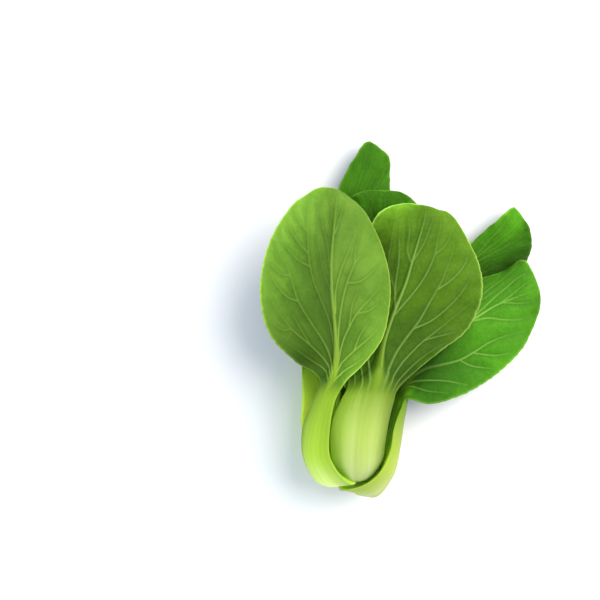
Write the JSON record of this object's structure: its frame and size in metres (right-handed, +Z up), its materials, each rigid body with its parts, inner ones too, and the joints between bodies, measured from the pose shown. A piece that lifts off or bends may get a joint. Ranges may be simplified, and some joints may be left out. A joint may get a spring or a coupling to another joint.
{
  "type": "bok choy",
  "caption": "Baby bok choy head lying on its back, with a rounded bulb of thick pale stalks, smooth oval dark green leaves and a small heart.",
  "frame": {"origin": "in the small flat spot under the bulb that the head rests on", "axes": "+Y runs along the head from the cut root end to the leaf tips, +Z up off the surface it lies on, +X towards the leaf that spreads to the right"},
  "size_m": [0.1533, 0.1947, 0.0663],
  "materials": {
    "stalk": "satin, moist plant tissue",
    "blade_outer_face": "waxy satin leaf, paler outer face",
    "blade_inner_face": "waxy satin leaf, deeper inner face",
    "heart_blade": "satin young leaf",
    "crown": "matte cut stem"
  },
  "bodies": {
    "root": {"crown": "crown", "front_left_leaf_stalk": "stalk", "front_left_leaf_blade": "blade_outer_face", "right_leaf_stalk": "stalk", "right_leaf_blade": "blade_inner_face", "back_left_leaf_stalk": "stalk", "back_left_leaf_blade": "blade_inner_face", "back_right_leaf_stalk": "stalk", "back_right_leaf_blade": "blade_inner_face", "front_leaf_stalk": "stalk", "front_leaf_blade": "blade_outer_face", "back_leaf_stalk": "stalk", "back_leaf_blade": "blade_inner_face", "heart_leaf_upper_stalk": "stalk", "heart_leaf_upper_blade": "heart_blade", "heart_leaf_left_stalk": "stalk", "heart_leaf_left_blade": "heart_blade", "heart_leaf_right_stalk": "stalk", "heart_leaf_right_blade": "heart_blade"}
  },
  "joints": []
}
